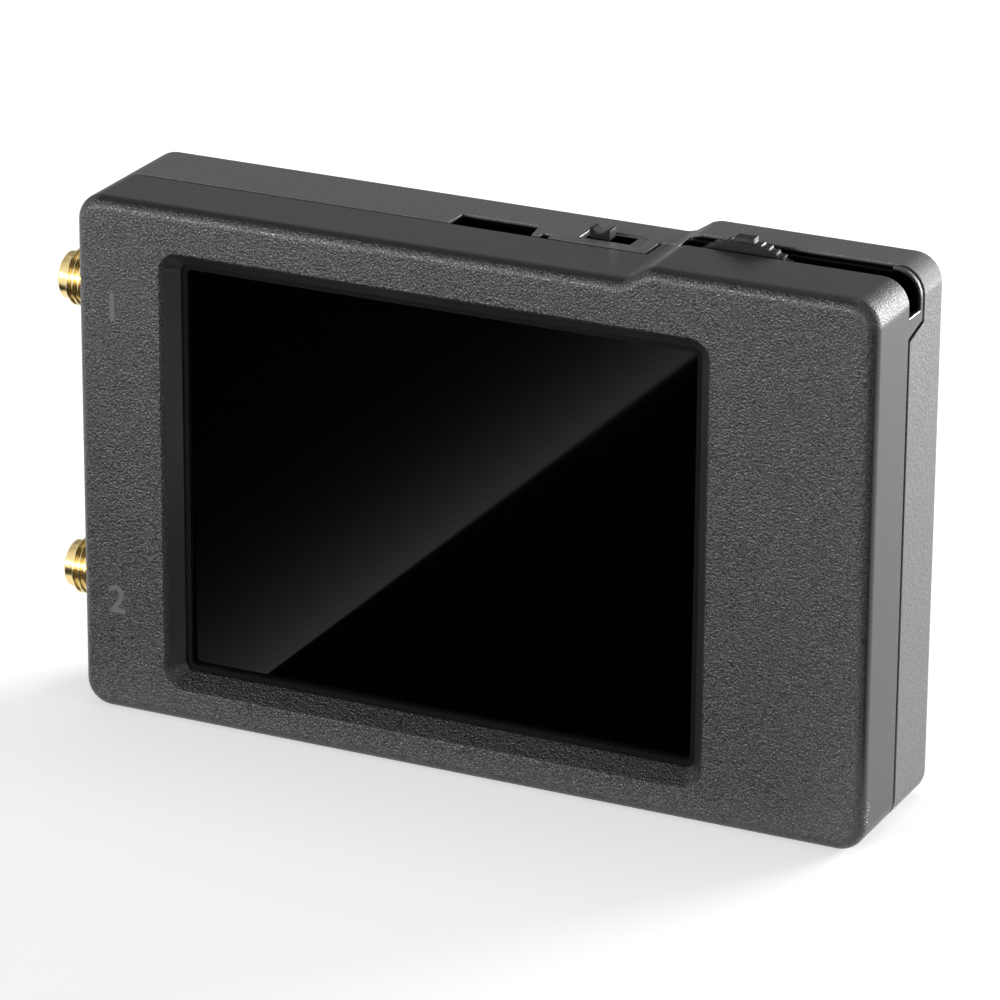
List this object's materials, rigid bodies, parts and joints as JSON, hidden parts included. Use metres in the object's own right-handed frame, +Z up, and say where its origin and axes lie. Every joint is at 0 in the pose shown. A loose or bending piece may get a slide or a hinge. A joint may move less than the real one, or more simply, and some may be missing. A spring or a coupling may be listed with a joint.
{
  "type": "antenna analyzer",
  "caption": "Pocket antenna analyzer: two-shell plastic case with a touch screen, two threaded coaxial ports, a slide power switch and a jog wheel.",
  "frame": {"origin": "middle of the long bottom face that the case stands on", "axes": "+X to the right along the case, +Y from the screen to the rear, +Z up"},
  "size_m": [0.0974, 0.0184, 0.0619],
  "materials": {
    "front_plastic": "fine spark grain, satin",
    "rear_plastic": "fine grain, satin",
    "screw_steel": "black zinc",
    "gasket_foam": "closed-cell foam",
    "screen_glass": "polished, black behind",
    "display_glass": "smooth",
    "guide_plastic": "clear milky",
    "tray_metal": "stamped sheet",
    "ribbon_film": "amber film",
    "tape_foam": "white foam tape",
    "board_laminate": "black solder mask",
    "tinned_sheet": "tinned sheet",
    "chip_plastic": "moulded epoxy",
    "part_ceramic": "fired ceramic with tinned ends",
    "port_gold": "gold plated, turned",
    "port_insulator": "white fluoropolymer",
    "contact_gold": "gold plated",
    "socket_steel": "stamped, nickel plated",
    "black_plastic": "moulded",
    "light_plastic": "clear lens",
    "terminal_tin": "tinned",
    "knob_plastic": "moulded, slightly worn edges",
    "wheel_plastic": "moulded, semi-gloss",
    "white_plastic": "moulded",
    "spring_steel": "drawn wire",
    "battery_foil": "laminated foil pouch",
    "guard_film": "amber tape over a small board",
    "lead_red": "soft insulation",
    "lead_black": "soft insulation"
  },
  "bodies": {
    "case": {"front_shell": "front_plastic", "rear_shell": "rear_plastic", "case_screws": "screw_steel", "screen_gasket": "gasket_foam", "touch_panel": "screen_glass", "lcd_panel": "display_glass", "light_guide": "guide_plastic", "screen_tray": "tray_metal", "screen_ribbon": "ribbon_film", "screen_tape": "tape_foam", "main_board": "board_laminate", "shield_frame": "tinned_sheet", "shield_lid": "tinned_sheet", "board_chips": "chip_plastic", "board_parts": "part_ceramic", "clock_crystal": "tinned_sheet", "port_1_body": "port_gold", "port_2_body": "port_gold", "port_1_insulator": "port_insulator", "port_2_insulator": "port_insulator", "port_1_contact": "contact_gold", "port_2_contact": "contact_gold", "usb_shell": "socket_steel", "usb_tongue": "black_plastic", "status_lights": "light_plastic", "switch_base": "black_plastic", "switch_frame": "socket_steel", "switch_terminals": "terminal_tin", "jog_base": "black_plastic", "jog_cover": "socket_steel", "jog_terminals": "terminal_tin", "jog_push_spring": "spring_steel", "battery_cell": "battery_foil", "battery_pad": "tape_foam", "battery_guard": "guard_film", "battery_plug": "white_plastic", "battery_jack": "white_plastic", "battery_lead_red": "lead_red", "battery_lead_black": "lead_black"},
    "power_switch": {"switch_knob": "knob_plastic"},
    "jog_carriage": {"jog_carriage": "white_plastic", "jog_turn_spring": "spring_steel"},
    "jog_wheel": {"jog_wheel": "wheel_plastic"}
  },
  "joints": [
    {"name": "switch_slide", "type": "slide", "parent": "case", "child": "power_switch", "axis": [1, 0, 0], "range_m": [0, 0.002]},
    {"name": "jog_press", "type": "slide", "parent": "case", "child": "jog_carriage", "axis": [0, 0, -1], "range_m": [0, 0.0005], "stiffness_N_per_m": 2400, "deforming": ["jog_push_spring"]},
    {"name": "jog_turn", "type": "hinge", "parent": "jog_carriage", "child": "jog_wheel", "pos_m": [0.0273, 0, 0.05365], "axis": [0, 1, 0], "range_deg": [-12, 12], "stiffness_Nm_per_rad": 0.02}
  ]
}
